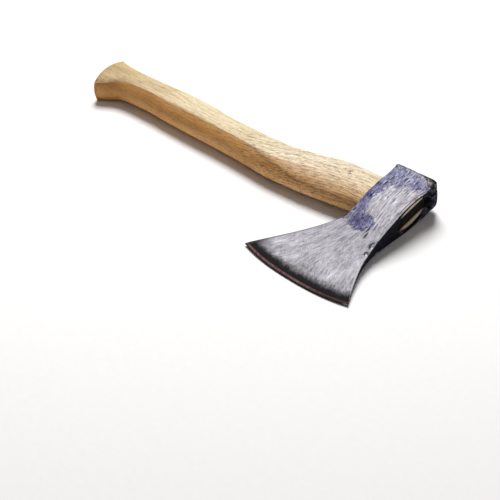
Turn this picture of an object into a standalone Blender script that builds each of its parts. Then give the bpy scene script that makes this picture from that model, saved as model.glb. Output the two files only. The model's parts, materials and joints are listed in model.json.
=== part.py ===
"""Carving hatchet: a forged steel head wedged onto a curved ash haft, lying on its side on a table at z = 0.

Every piece is drawn in the hatchet's own axes, whose origin is the middle of the eye: +X runs along the
haft and out of the head's top, +Y points to the poll, and +Z comes out of the upper cheek. An empty named
lying_pose then lays the whole hatchet on the three points that touch a table.
"""

import math

import bmesh
import bpy
from mathutils import Matrix, Vector

MM = 0.001

# ---------------------------------------------------------------- driving dimensions
GAP = 0.3 * MM  # left between faces that touch on the real tool
OVERRUN = 6.0 * MM  # a cut runs on this far past the face that it opens

# head
HEAD_UNDER = -17.2 * MM  # underside, where the haft's shoulder seats
HEAD_TOP = 19.4 * MM  # top side, round the eye
POLL_Y = 34.2 * MM
NECK_Y = -34.0 * MM  # the eye block ends here and the blade begins
HEEL_Y = -100.9 * MM  # the cutting edge's end nearer the hand
TOE_Y = -106.8 * MM
EDGE_BELLY = 7.1 * MM  # how far the edge bows out past the line from heel to toe
EDGE_BELLY_POWER = 2.4
BEVEL_WIDTH = 13.0 * MM
# (y, x) of the head's two sides, from the poll to the cutting edge
HAND_SIDE = (
    (34.2, -18.8),
    (27.0, -17.9),
    (21.0, -17.2),
    (-34.0, -17.2),
    (-37.5, -17.8),
    (-42.0, -20.6),
    (-48.2, -25.0),
    (-67.4, -39.4),
    (-86.5, -54.2),
    (-100.9, -65.5),
)
TOP_SIDE = (
    (34.2, 26.4),
    (26.0, 25.2),
    (16.0, 21.4),
    (8.0, 19.8),
    (-6.0, 19.2),
    (-20.0, 18.8),
    (-32.0, 18.7),
    (-45.0, 18.8),
    (-55.0, 19.6),
    (-68.7, 21.9),
    (-82.5, 26.2),
    (-96.4, 31.8),
    (-106.8, 36.8),
)
BLADE_CROWN = 0.08  # share by which the blade is thinner at heel and toe than in its middle
BLADE_CROWN_RUN = 1 / 3  # share of the blade's length over which that crown comes in
# (y, thickness) of the head, from the poll to the cutting edge
HEAD_THICKNESS = (
    (34.2, 24.2),
    (24.0, 24.6),
    (2.0, 26.6),
    (-8.0, 26.0),
    (-18.0, 22.8),
    (-30.0, 18.4),
    (-45.0, 13.4),
    (-62.0, 8.2),
    (-80.0, 5.4),
    (-98.8, 3.5),
    (-108.2, 2.2),
    (-111.8, 0.3),  # the cutting edge's own thickness
)
# rounding of the poll's corners: (how far it draws in, how far it reaches behind the poll's flat)
POLL_ROUND_TOP = (17.0 * MM, 12.5 * MM)
POLL_ROUND_UNDER = (14.0 * MM, 3.5 * MM)
POLL_ROUND_CHEEK = (3.0 * MM, 4.0 * MM)
POLL_ARRIS_X = 20.6 * MM  # the top side stands out beyond this by the poll, but its arrises do not
BULGE_POWER = 3.0
ARRIS = 0.9 * MM  # broken edge between cheek and side
ARRIS_LIMIT = 0.35  # and its largest share of half the blade's thickness

# eye, an oval that widens towards the head's top: (half length, half width)
EYE_UNDER = (19.0 * MM, 9.0 * MM)
EYE_TOP = (20.0 * MM, 10.9 * MM)
EYE_SHIFT = 0.9 * MM
EYE_ROUNDNESS = 2.5  # exponent of the oval

# haft: (x, y) of its two outlines, (x, half thickness), (x, share of the width that the cheek takes up)
# and (x, how much lower the cheek's borders are than its middle)
EDGE_SIDE = (
    (-300, -33.0),
    (-290, -29.2),
    (-277, -22.4),
    (-262, -21.2),
    (-245, -21.2),
    (-222, -22.8),
    (-199, -23.8),
    (-155, -25.2),
    (-127, -27.2),
    (-105, -29.0),
    (-79, -28.4),
    (-57, -26.6),
    (-38, -24.2),
    (-17, -21.8),
)
POLL_SIDE = (
    (-300, 10.6),
    (-288, 9.9),
    (-270, 9.7),
    (-238, 10.6),
    (-215, 11.1),
    (-190, 9.9),
    (-160, 7.1),
    (-129, 6.7),
    (-105, 7.7),
    (-85, 11.9),
    (-65, 17.6),
    (-48, 20.6),
    (-17, 20.6),
)
HAFT_HALF_THICKNESS = (
    (-300, 11.8),
    (-275, 12.0),
    (-245, 11.6),
    (-200, 11.7),
    (-120, 11.7),
    (-60, 12.0),
    (-17, 11.7),
)
HAFT_CHEEK = (
    (-300, 0.92),
    (-288, 0.80),
    (-272, 0.58),
    (-250, 0.47),
    (-200, 0.44),
    (-120, 0.42),
    (-80, 0.30),
    (-40, 0.20),
    (-17, 0.16),
)
HAFT_CROWN = (
    (-300, 2.6),
    (-285, 2.2),
    (-265, 1.0),
    (-240, 0.4),
    (-200, 0.2),
    (-17, 0.1),
)
BUTT_X = -303.3 * MM
BUTT_CROWN_Y = -7.5 * MM  # the domed end is highest here
BUTT_DOME_RADIUS = 50.0 * MM
BUTT_CORNER = 2.6 * MM
BUTT_SECTION_X = -299.0 * MM  # the section that the domed end closes
BUTT_END = 20.0 * MM  # the length that can touch a table

# wedge, and the kerf that it spreads
TENON_RECESS = 1.6 * MM  # below the head's top
WEDGE_RECESS = 1.9 * MM
WEDGE_DEPTH = 28.0 * MM
WEDGE_THICK = 11.0 * MM
WEDGE_THIN = 1.4 * MM
WEDGE_ENDS = (-16.6 * MM, 18.2 * MM)  # it stops short of the eye's poll end
KERF_EXTRA = 1.5 * MM  # the saw cut runs on below the wedge's tip

# fineness
CHEEK_POINTS = 11
SIDE_STEPS = 12
CHEEK_STEPS = 6
HAFT_STEP = 12.0 * MM
BUTT_RINGS = (0.03, 0.3, 0.55)  # at these shares of the section
BUTT_CORNER_TURNS = (90, 60, 30)
TOP_SHARES = (1, 0.8, 0.5, 0, -0.5, -0.8, -1)  # of half the top side, from cheek to cheek
POLL_RINGS = 8
EYE_BLOCK_RINGS = (20, 18, 15.5, 13, 8, 2, -5, -10, -14, -18, -22, -26, -30)  # at these y, in mm
BEVEL_RINGS = (1, 0.78, 0.56, 0.4, 0.28, 0.14, 0)  # at these shares of the bevel's width
BLADE_STEPS = 14
BLADE_STEP_POWER = 1.2  # above 1, sections stand closer together at the neck
EYE_POINTS = 48
REST_STEPS = 12


# ---------------------------------------------------------------- interpolation
def track(table, x):
    """Value at x of the smooth curve through a table of (x, value), without overshoot between them."""
    rows = sorted(table)
    if x <= rows[0][0]:
        return rows[0][1]
    if x >= rows[-1][0]:
        return rows[-1][1]
    slopes = [(b[1] - a[1]) / (b[0] - a[0]) for a, b in zip(rows, rows[1:])]
    tangents = [slopes[0]]
    for left, right in zip(slopes, slopes[1:]):
        tangents.append(0.0 if left * right <= 0 else 2 * left * right / (left + right))
    tangents.append(slopes[-1])
    i = next(k for k in range(len(slopes)) if x <= rows[k + 1][0])
    width = rows[i + 1][0] - rows[i][0]
    s = (x - rows[i][0]) / width
    return (
        rows[i][1] * (1 + 2 * s) * (1 - s) ** 2
        + rows[i + 1][1] * s * s * (3 - 2 * s)
        + tangents[i] * width * s * (1 - s) ** 2
        - tangents[i + 1] * width * s * s * (1 - s)
    )


def track_mm(table, x):
    """The same for a table in millimetres, with x and the value in metres."""
    return track(table, x / MM) * MM


def mix(a, b, share):
    return a + (b - a) * share


def signed_power(value, power):
    return math.copysign(abs(value) ** power, value)


# ---------------------------------------------------------------- scene helpers
def clear_scene():
    for obj in list(bpy.data.objects):
        bpy.data.objects.remove(obj)


def new_collection(name):
    collection = bpy.data.collections.new(name)
    bpy.context.scene.collection.children.link(collection)
    return collection


def new_material(name, colour, roughness, metallic):
    material = bpy.data.materials.new(name)
    material.use_nodes = True
    shader = material.node_tree.nodes["Principled BSDF"]
    shader.inputs["Base Color"].default_value = (*colour, 1.0)
    shader.inputs["Roughness"].default_value = roughness
    shader.inputs["Metallic"].default_value = metallic
    return material


def loft(name, rings, collection, cap_first=True, cap_last=True):
    """A closed skin over rings of equally many points, each end closed by one flat face where asked."""
    bm = bmesh.new()
    loops = [[bm.verts.new(point) for point in ring] for ring in rings]
    for near, far in zip(loops, loops[1:]):
        for i in range(len(near)):
            j = (i + 1) % len(near)
            bm.faces.new((near[i], near[j], far[j], far[i]))
    if cap_first:
        bm.faces.new(list(reversed(loops[0])))
    if cap_last:
        bm.faces.new(loops[-1])
    return finish_mesh(name, bm, collection), loops


def finish_mesh(name, bm, collection, smooth_angle=35):
    bmesh.ops.remove_doubles(bm, verts=bm.verts, dist=1e-7)
    bmesh.ops.recalc_face_normals(bm, faces=bm.faces)
    mesh = bpy.data.meshes.new(name)
    bm.to_mesh(mesh)
    bm.free()
    mesh.shade_smooth()
    mesh.set_sharp_from_angle(angle=math.radians(smooth_angle))
    obj = bpy.data.objects.new(name, mesh)
    collection.objects.link(obj)
    return obj


def cut(obj, cutter):
    modifier = obj.modifiers.new("cut_by_" + cutter.name, "BOOLEAN")
    modifier.operation = "DIFFERENCE"
    modifier.object = cutter
    cutter.hide_render = True
    cutter.display_type = "WIRE"


def tapered_block(name, thin_x, thick_x, thin, thick, y_ends, collection):
    """A box between two X planes, thinner in Z at its inner end."""
    bpy.ops.mesh.primitive_cube_add(size=1.0)
    obj = bpy.context.active_object
    obj.name = name
    obj.data.name = name
    for vertex in obj.data.vertices:
        inner = vertex.co.x < 0
        vertex.co.x = thin_x if inner else thick_x
        vertex.co.y = y_ends[0] if vertex.co.y < 0 else y_ends[1]
        vertex.co.z = math.copysign((thin if inner else thick) / 2, vertex.co.z)
    for old in obj.users_collection:
        old.objects.unlink(obj)
    collection.objects.link(obj)
    return obj


# ---------------------------------------------------------------- head
def edge_y(across):
    """y of the cutting edge, where across runs from -1 at the heel to 1 at the toe."""
    chord = mix(HEEL_Y, TOE_Y, (across + 1) / 2)
    return chord - EDGE_BELLY * (1 - abs(across) ** EDGE_BELLY_POWER)


def poll_bulge(y, x_top):
    """How far the middle of the top side stands out beyond its two arrises, by the poll."""
    return max(0.0, x_top - POLL_ARRIS_X) if y > 0 else 0.0


def head_ring(y_of, half_of, arris, inset_hand=0.0, inset_top=0.0):
    """One closed section of the head: upper cheek, top side, lower cheek, hand side."""
    x_hand = track_mm(HAND_SIDE, y_of(-1)) + inset_hand
    x_top = track_mm(TOP_SIDE, y_of(1)) - inset_top
    bulge = poll_bulge(y_of(1), x_top)
    x_top -= bulge
    steps = [i / (CHEEK_POINTS - 1) * 2 - 1 for i in range(CHEEK_POINTS)]
    cheek = [
        (mix(x_hand + arris, x_top - arris, (a + 1) / 2), y_of(a), half_of(a))
        for a in steps
    ]
    wall = half_of(1) - arris
    top = [
        (x_top + bulge * (1 - abs(share) ** BULGE_POWER), y_of(1), wall * share)
        for share in TOP_SHARES
    ]
    wall = half_of(-1) - arris
    hand = [(x_hand, y_of(-1), z) for z in (-wall, 0, wall)]
    lower = [(x, y, -z) for x, y, z in reversed(cheek)]
    return cheek + top + lower + hand


def poll_inset(rounding, back):
    """How far a rounded corner has drawn in at a distance behind the poll's flat."""
    inset, reach = rounding
    share = max(0.0, 1 - back / reach)
    return inset * (1 - math.sqrt(1 - share * share))


def poll_rings():
    """Sections that round the poll's corners, from its flat face inwards."""
    rings = []
    for i in range(POLL_RINGS):
        back = POLL_ROUND_TOP[1] * (1 - math.cos(math.radians(90) * i / POLL_RINGS))
        y = POLL_Y - back
        half = track_mm(HEAD_THICKNESS, y) / 2 - poll_inset(POLL_ROUND_CHEEK, back)
        rings.append(
            head_ring(
                lambda across, y=y: y,
                lambda across, half=half: half,
                ARRIS,
                poll_inset(POLL_ROUND_UNDER, back),
                poll_inset(POLL_ROUND_TOP, back),
            )
        )
    return rings


def eye_block_rings():
    rings = []
    for y in EYE_BLOCK_RINGS:
        half = track(HEAD_THICKNESS, y) * MM / 2
        rings.append(
            head_ring(
                lambda across, y=y: y * MM,
                lambda across, half=half: half,
                ARRIS,
            )
        )
    return rings


def blade_rings():
    """Sections from the neck to the cutting edge, each bowed a little more like the edge."""
    rings = []
    middle = edge_y(0)
    bevel = [middle + BEVEL_WIDTH * share for share in BEVEL_RINGS]
    body = [mix(NECK_Y, bevel[0], (i / BLADE_STEPS) ** BLADE_STEP_POWER) for i in range(BLADE_STEPS)]
    for y in body + bevel:
        share = (NECK_Y - y) / (NECK_Y - middle)
        half = track_mm(HEAD_THICKNESS, y) / 2
        crown = BLADE_CROWN * min(1.0, share / BLADE_CROWN_RUN)
        rings.append(
            head_ring(
                lambda across, share=share: mix(NECK_Y, edge_y(across), share),
                lambda across, half=half, crown=crown: half * (1 - crown * across**2),
                min(ARRIS, ARRIS_LIMIT * half),
            )
        )
    return rings


def eye_oval(x, count, inset=0.0, start=0.0):
    """The eye's section at x, shrunk by inset. Its first point lies at the angle start."""
    share = (x - HEAD_UNDER) / (HEAD_TOP - HEAD_UNDER)
    length = mix(EYE_UNDER[0], EYE_TOP[0], share) - inset
    width = mix(EYE_UNDER[1], EYE_TOP[1], share) - inset
    power = 2 / EYE_ROUNDNESS
    ring = []
    for i in range(count):
        turn = start + math.tau * i / count
        y = EYE_SHIFT + length * signed_power(math.cos(turn), power)
        ring.append((x, y, width * signed_power(math.sin(turn), power)))
    return ring


def make_head(collection, cutters):
    rings = poll_rings() + eye_block_rings() + blade_rings()
    head, _ = loft("axe_head", rings, collection)
    planes = (HEAD_UNDER - OVERRUN, HEAD_UNDER, HEAD_TOP, HEAD_TOP + OVERRUN)
    cutter, _ = loft("eye_cutter", [eye_oval(x, EYE_POINTS) for x in planes], cutters)
    cut(head, cutter)
    return head


# ---------------------------------------------------------------- haft
def haft_section(x, shrink=1.0):
    """Section as (y, z) points: two low-crowned cheeks and two round sides, with a crease where they meet."""
    low = track_mm(EDGE_SIDE, x)
    high = track_mm(POLL_SIDE, x)
    centre = (low + high) / 2
    half_width = (high - low) / 2
    half_thick = track_mm(HAFT_HALF_THICKNESS, x)
    cheek = track(HAFT_CHEEK, x / MM)
    crown = track_mm(HAFT_CROWN, x)
    side_scale = (half_thick - crown) / math.sqrt(1 - cheek * cheek)
    crease = math.acos(cheek)
    half = []
    for i in range(SIDE_STEPS):
        turn = mix(-crease, crease, i / SIDE_STEPS)
        half.append((math.cos(turn), side_scale * math.sin(turn)))
    for i in range(CHEEK_STEPS):
        u = mix(1, -1, i / CHEEK_STEPS)
        half.append((cheek * u, half_thick - crown * u * u))
    section = half + [(-u, -z) for u, z in half]
    return [(centre + shrink * half_width * u, shrink * z) for u, z in section]


def butt_rings():
    """The domed butt: from its middle outwards, then over a rounded corner."""

    def dome(y, z):
        return BUTT_X + ((y - BUTT_CROWN_Y) ** 2 + z * z) / (2 * BUTT_DOME_RADIUS)

    half_width = track_mm(POLL_SIDE, BUTT_SECTION_X) - BUTT_CROWN_Y
    rings = []
    for shrink in BUTT_RINGS:
        ring = haft_section(BUTT_SECTION_X, shrink)
        rings.append([(dome(y, z), y, z) for y, z in ring])
    for turn in BUTT_CORNER_TURNS:
        turn = math.radians(turn)
        shrink = 1 - BUTT_CORNER * (1 - math.cos(turn)) / half_width
        ring = haft_section(BUTT_SECTION_X, shrink)
        lift = BUTT_CORNER * (1 - math.sin(turn))
        rings.append([(dome(y, z) + lift, y, z) for y, z in ring])
    return rings


def tenon_ring(x):
    """The eye's oval, one gap smaller, with as many points as the haft's section."""
    start = -math.acos(track(HAFT_CHEEK, HEAD_UNDER / MM))
    return eye_oval(x, 2 * (SIDE_STEPS + CHEEK_STEPS), GAP, start)


def make_haft(collection, cutters):
    shoulder = HEAD_UNDER - GAP
    first = BUTT_SECTION_X + 2 * BUTT_CORNER
    steps = round((shoulder - first) / HAFT_STEP)
    rings = butt_rings()
    for i in range(steps + 1):
        x = mix(first, shoulder, i / steps)
        rings.append([(x, y, z) for y, z in haft_section(x)])
    rings += [tenon_ring(x) for x in (shoulder, HEAD_TOP - TENON_RECESS)]
    haft, _ = loft("haft", rings, collection)
    top = HEAD_TOP + OVERRUN
    slope = (WEDGE_THICK - WEDGE_THIN) / WEDGE_DEPTH
    tip = HEAD_TOP - WEDGE_RECESS - WEDGE_DEPTH - KERF_EXTRA
    kerf = tapered_block(
        "kerf_cutter",
        tip,
        top,
        WEDGE_THIN - slope * KERF_EXTRA + 2 * GAP,
        WEDGE_THICK + slope * (top - HEAD_TOP + WEDGE_RECESS) + 2 * GAP,
        (-EYE_TOP[0] - OVERRUN, EYE_TOP[0] + OVERRUN),
        cutters,
    )
    cut(haft, kerf)
    return haft


def make_wedge(collection):
    top = HEAD_TOP - WEDGE_RECESS
    wedge = tapered_block(
        "eye_wedge",
        top - WEDGE_DEPTH,
        top,
        WEDGE_THIN,
        WEDGE_THICK,
        WEDGE_ENDS,
        collection,
    )
    bevel = wedge.modifiers.new("soft_edges", "BEVEL")
    bevel.width = 0.4 * MM
    bevel.segments = 2
    return wedge


# ---------------------------------------------------------------- lying on the table
def own_points(objects):
    return [vertex.co.copy() for obj in objects for vertex in obj.data.vertices]


def table_normal(points):
    """Normal, in the hatchet's axes, of a table that the edge, the lower cheek and the butt all touch."""
    regions = (
        [p for p in points if p.y < HEEL_Y + BEVEL_WIDTH],
        [p for p in points if p.y > NECK_Y and p.x > HEAD_UNDER],
        [p for p in points if p.x < BUTT_SECTION_X + BUTT_END],
    )
    normal = Vector((0, 0, 1))
    for _ in range(REST_STEPS):
        edge, cheek, butt = (min(region, key=normal.dot) for region in regions)
        normal = (edge - butt).cross(cheek - butt).normalized()
        if normal.z < 0:
            normal.negate()
    return normal


def lying_matrix(points):
    """Lays the hatchet on the table, its haft along X, with the origin under the middle of its box."""
    up = table_normal(points)
    along = Vector((1, 0, 0))
    along = (along - up * along.dot(up)).normalized()
    turn = Matrix((along, up.cross(along), up)).to_4x4()
    turned = [turn @ point for point in points]
    low = Vector([min(p[k] for p in turned) for k in range(3)])
    high = Vector([max(p[k] for p in turned) for k in range(3)])
    shift = Vector((-(low.x + high.x) / 2, -(low.y + high.y) / 2, -low.z))
    return Matrix.Translation(shift) @ turn


def main():
    clear_scene()
    parts = new_collection("carving_hatchet")
    cutters = new_collection("cutters")
    head = make_head(parts, cutters)
    haft = make_haft(parts, cutters)
    wedge = make_wedge(parts)
    head.data.materials.append(new_material("forged_steel", (0.56, 0.55, 0.6), 0.4, 0.9))
    haft.data.materials.append(new_material("ash_wood", (0.74, 0.55, 0.3), 0.5, 0.0))
    wedge.data.materials.append(new_material("dark_wood", (0.05, 0.045, 0.035), 0.65, 0.0))

    pose = bpy.data.objects.new("lying_pose", None)
    parts.objects.link(pose)
    pose.matrix_world = lying_matrix(own_points((head, haft, wedge)))
    for obj in list(parts.objects) + list(cutters.objects):
        if obj is not pose:
            obj.parent = pose


main()
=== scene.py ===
"""Looks of the carving hatchet: a ground and partly painted steel head, an ash haft and a dark wedge.

Each piece is drawn in the hatchet's own axes in millimetres, with the origin in the middle of the eye:
x along the haft and out of the head's top, y to the poll, z out of the upper cheek. The pose in which it
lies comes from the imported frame. Material detail hangs on values stored at each piece's own points.
"""

import json
import math

import bmesh
import bpy
import numpy as np
from mathutils import Matrix, Vector, noise


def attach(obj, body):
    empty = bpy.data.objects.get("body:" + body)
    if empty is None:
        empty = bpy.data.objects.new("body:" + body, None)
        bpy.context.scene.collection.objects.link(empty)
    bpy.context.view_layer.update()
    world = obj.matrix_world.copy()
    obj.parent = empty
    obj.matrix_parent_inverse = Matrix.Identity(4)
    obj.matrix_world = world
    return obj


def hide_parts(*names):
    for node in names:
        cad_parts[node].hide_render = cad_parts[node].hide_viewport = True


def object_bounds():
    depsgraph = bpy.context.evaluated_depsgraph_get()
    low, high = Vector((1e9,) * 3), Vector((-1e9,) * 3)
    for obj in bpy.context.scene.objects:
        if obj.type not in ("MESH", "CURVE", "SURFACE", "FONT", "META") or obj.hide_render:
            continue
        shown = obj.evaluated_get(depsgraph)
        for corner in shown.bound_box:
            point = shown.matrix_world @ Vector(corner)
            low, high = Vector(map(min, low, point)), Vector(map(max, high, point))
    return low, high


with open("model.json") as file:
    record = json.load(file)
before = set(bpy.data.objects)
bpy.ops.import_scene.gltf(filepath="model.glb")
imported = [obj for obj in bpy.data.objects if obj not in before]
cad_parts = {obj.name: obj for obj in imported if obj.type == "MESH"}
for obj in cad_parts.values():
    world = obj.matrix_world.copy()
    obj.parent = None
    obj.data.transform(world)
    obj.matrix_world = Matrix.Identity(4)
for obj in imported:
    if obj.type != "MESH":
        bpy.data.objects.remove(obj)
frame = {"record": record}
cad_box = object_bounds()

MM = 0.001

# ---------------------------------------------------------------- the CAD's driving dimensions, in mm
HEAD_UNDER = -17.2
HEAD_TOP = 19.4
POLL_Y = 34.2
NECK_Y = -34.0
HEEL_Y = -100.9
TOE_Y = -106.8
EDGE_BELLY = 7.1
EDGE_BELLY_POWER = 2.4
# (y, x) of the head's two sides, from the poll to the cutting edge
HAND_SIDE = (
    (34.2, -18.8),
    (27.0, -17.9),
    (21.0, -17.2),
    (-34.0, -17.2),
    (-37.5, -17.8),
    (-42.0, -20.6),
    (-48.2, -25.0),
    (-67.4, -39.4),
    (-86.5, -54.2),
    (-100.9, -65.5),
)
TOP_SIDE = (
    (34.2, 26.4),
    (26.0, 25.2),
    (16.0, 21.4),
    (8.0, 19.8),
    (-6.0, 19.2),
    (-20.0, 18.8),
    (-32.0, 18.7),
    (-45.0, 18.8),
    (-55.0, 19.6),
    (-68.7, 21.9),
    (-82.5, 26.2),
    (-96.4, 31.8),
    (-106.8, 36.8),
)
BLADE_CROWN = 0.08
BLADE_CROWN_RUN = 1 / 3  # share of the blade over which the crown comes in
# (y, thickness) of the head
HEAD_THICKNESS = (
    (34.2, 24.2),
    (24.0, 24.6),
    (2.0, 26.6),
    (-8.0, 26.0),
    (-18.0, 22.8),
    (-30.0, 18.4),
    (-45.0, 13.4),
    (-62.0, 8.2),
    (-80.0, 5.4),
    (-98.8, 3.5),
    (-108.2, 2.2),
    (-111.8, 0.3),
)
# rounding of the poll's corners: (how far it draws in, how far it reaches behind the poll's flat)
POLL_ROUND_TOP = (17.0, 12.5)
POLL_ROUND_UNDER = (14.0, 3.5)
POLL_ROUND_CHEEK = (3.0, 4.0)
POLL_ARRIS_X = 20.6  # the top side stands out beyond this by the poll, but its arrises do not
BULGE_POWER = 3.0
ARRIS = 0.9
ARRIS_LIMIT = 0.35  # of the half thickness

EYE_UNDER = (19.0, 9.0)
EYE_TOP = (20.0, 10.9)
EYE_SHIFT = 0.9
EYE_ROUNDNESS = 2.5

EDGE_SIDE = (
    (-300, -33.0),
    (-290, -29.2),
    (-277, -22.4),
    (-262, -21.2),
    (-245, -21.2),
    (-222, -22.8),
    (-199, -23.8),
    (-155, -25.2),
    (-127, -27.2),
    (-105, -29.0),
    (-79, -28.4),
    (-57, -26.6),
    (-38, -24.2),
    (-17, -21.8),
)
POLL_SIDE = (
    (-300, 10.6),
    (-288, 9.9),
    (-270, 9.7),
    (-238, 10.6),
    (-215, 11.1),
    (-190, 9.9),
    (-160, 7.1),
    (-129, 6.7),
    (-105, 7.7),
    (-85, 11.9),
    (-65, 17.6),
    (-48, 20.6),
    (-17, 20.6),
)
HAFT_HALF_THICKNESS = (
    (-300, 11.8),
    (-275, 12.0),
    (-245, 11.6),
    (-200, 11.7),
    (-120, 11.7),
    (-60, 12.0),
    (-17, 11.7),
)
HAFT_CHEEK = (
    (-300, 0.92),
    (-288, 0.80),
    (-272, 0.58),
    (-250, 0.47),
    (-200, 0.44),
    (-120, 0.42),
    (-80, 0.30),
    (-40, 0.20),
    (-17, 0.16),
)
HAFT_CROWN = (
    (-300, 2.6),
    (-285, 2.2),
    (-265, 1.0),
    (-240, 0.4),
    (-200, 0.2),
    (-17, 0.1),
)
BUTT_X = -303.3
BUTT_CROWN_Y = -7.5
BUTT_DOME_RADIUS = 50.0
BUTT_CORNER = 2.6
BUTT_SECTION_X = -299.0

TENON_RECESS = 1.6
WEDGE_RECESS = 1.9
WEDGE_DEPTH = 28.0
WEDGE_THICK = 11.0
WEDGE_THIN = 1.4
WEDGE_ENDS = (-16.6, 18.2)
KERF_EXTRA = 1.5
FIT_GAP = 0.1  # the pieces bear on each other, with only a hairline between them
EYE_OVERRUN = 6.0  # each cutter runs on this far past the face that it opens
KERF_OVERRUN = 4.0
KERF_ENDS = (-30.0, 30.0)

# ---------------------------------------------------------------- fineness of the visible meshes
CHEEK_POINTS = 84
ARRIS_STEPS = 3
SIDE_POINTS = 12
POLL_RINGS = 22
EYE_BLOCK_RINGS = 58
BLADE_RINGS = 84
HAFT_SIDE_STEPS = 34
HAFT_CHEEK_STEPS = 24
HAFT_RING_STEP = 1.6
EYE_POINTS = 120
BUTT_RINGS = (0.03, 0.82, 14)  # first and last share of the section, and how many
BUTT_CORNER_TURNS = (90, 75, 60, 45, 30, 15)
WEDGE_STEPS = (12, 48, 10)
HEAD_YS = np.linspace(-112, POLL_Y, 300)  # from just past the edge to the poll

# ---------------------------------------------------------------- wear, in mm in the hatchet's axes
FORGED_WAVE = (0.16, 0.045)  # depth, and scale of the noise
FORGED_CHATTER = (0.07, 0.22)
SHAVED_WAVE = (0.22, 0.05)  # on the haft
TORN_WEDGE = (0.55, 0.5)
GROUND_SMOOTH = (-60, -96, 0.85)  # the blade gets smoother between these y, by this share
# Dents in the head: (centre, radii, depth)
DENTS = (
    ((18.6, -51.0, 5.6), (1.7, 2.2, 2.0), 1.0),
    ((19.9, -58.6, 4.4), (1.6, 2.0, 1.8), 0.9),
    ((18.9, -47.0, -6.4), (2.0, 2.8, 2.4), 0.5),
    ((6.8, -46.3, 6.8), (0.8, 2.4, 2.0), 0.3),
    ((4.8, -38.2, 8.0), (0.7, 1.6, 2.0), 0.3),
    ((-17.5, 28.0, 10.5), (2.6, 2.4, 2.4), 0.5),
    ((1.0, 32.6, 11.4), (3.2, 1.8, 1.8), 0.4),
    ((-12.0, 33.0, -9.0), (3.0, 2.6, 2.6), 0.6),
)
# Nicks at the top side's corner, each a dark torn mark with a painted glint, and short dark cuts in the
# upper cheek with a painted highlight along one side: (centre, radii)
NICKS = (((18.0, -51.4, 5.8), (1.2, 2.1, 2.0)), ((18.7, -59.4, 4.8), (1.2, 1.7, 2.0)))
CUTS = (
    ((7.5, -45.2, 8.0), (1.0, 3.4, 12.0)),
    ((5.8, -40.2, 8.0), (0.75, 2.9, 12.0)),
    ((-10.9, 6.8, 8.0), (0.75, 3.8, 12.0)),
    ((-10.3, 14.4, 8.0), (0.6, 3.2, 12.0)),
    ((2.4, 18.2, 8.0), (0.6, 2.6, 12.0)),
)
# Round patches on the cheeks: (x, y, radius in x, radius in y)
SPOT_RIM = (0.45, 1.35)  # a patch fades out between these multiples of its radii
NECK_PAINT = (-3.5, -36, 12, 10)
GROUND_BARE = (9, -7, 12, 17)
SMUDGE = (15, 4, 6, 12)
HEEL_DARK = (24, 4)  # the heel's dark corner fades in between these distances from it
CRUST_RIM = (3.4, 7.2)  # width of the poll's crust by the hand side and by the top side
EYE_RIM = 0.6  # the cheek's looks stop this far outside the eye
ARRIS_WEAR = 1.6  # only this much of the top side is worn bright below the cheek

SWELL = (-160, -70)  # the grip passes into the swell between these x
# How much the haft's surface faces the edge, from -1 to 1, as (at the grip, at the swell)
# the golden turn is partly the wood's tone and partly painted shade
TURN_FROM = (0.1, -0.25)  # where its colour begins to turn golden
TURN_TO = (0.5, 0.85)
CREASE_AT = (0.3, 0.72)
CREASE_WIDTH = (0.1, 0.07)

FAN_HALF_WIDTH = 26  # of the space in which the head's scratches fan out
CHEEKS_APART = 60  # so that the two cheeks don't carry the same marks

# ---------------------------------------------------------------- colours, linear red, green and blue
# Tones are a ramp over a noise value: (value, colour), ...
STEEL_TONES = (
    (0.36, (0.07, 0.068, 0.08)),
    (0.45, (0.235, 0.229, 0.256)),
    (0.54, (0.345, 0.337, 0.374)),
    (0.64, (0.56, 0.548, 0.592)),
)
SCRATCH_DARK = (0.07, 0.064, 0.08)
# painted glint along the crossing scratches
SCRATCH_GLINT = (0.72, 0.71, 0.76)
BORDER_DARK = (0.05, 0.05, 0.06)
GROOVE_DARK = (0.075, 0.075, 0.095)
GROUND_PALE = (0.58, 0.565, 0.6)
SMUDGE_BROWN = (0.24, 0.18, 0.19)
# painted shade in the hollow of each dent
DENT_SHADE = (0.02, 0.02, 0.03)
CUT_DARK = (0.012, 0.012, 0.028)
# painted highlight along one side of each cut
CUT_HIGHLIGHT = (0.62, 0.62, 0.66)
# worn bright steel on the arris, and the painted glint and highlight colour
WORN_STEEL_AND_GLINT = (0.85, 0.85, 0.88)

PAINT_TONES = (
    (0.36, (0.028, 0.029, 0.08)),
    (0.45, (0.1, 0.1, 0.21)),
    (0.54, (0.21, 0.21, 0.35)),
    (0.64, (0.48, 0.48, 0.59)),
)
PAINT_STROKE = (0.012, 0.012, 0.035)
PAINT_FLECK = (0.5, 0.5, 0.58)
SIDE_TONES = ((0.35, (0.003, 0.0035, 0.008)), (0.7, (0.010, 0.011, 0.024)))
SIDE_FLAKED = (0.12, 0.12, 0.15)
CRUST_TONES = (
    (0.38, (0.006, 0.006, 0.007)),
    (0.46, (0.04, 0.037, 0.038)),
    (0.53, (0.15, 0.138, 0.135)),
    (0.62, (0.36, 0.34, 0.335)),
)
# black of the poll's burred rim and the painted shade on it
BURR_AND_SHADE_BLACK = (0.003, 0.003, 0.004)

BIT_BLACK = (0.006, 0.005, 0.006)
HONED_TONES = ((0.35, (0.045, 0.02, 0.02)), (0.65, (0.2, 0.118, 0.118)))
HONED_TOE = (0.02, 0.010, 0.010)
EDGE_LINE = (0.02, 0.015, 0.015)
# mm in from the edge between which each strip fades out: (none, full)
BAND_DEPTH = (14.5, 6.0)
HONED_DEPTH = (2.7, 2.3)
EDGE_DEPTH = (0.9, 0.5)

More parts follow.
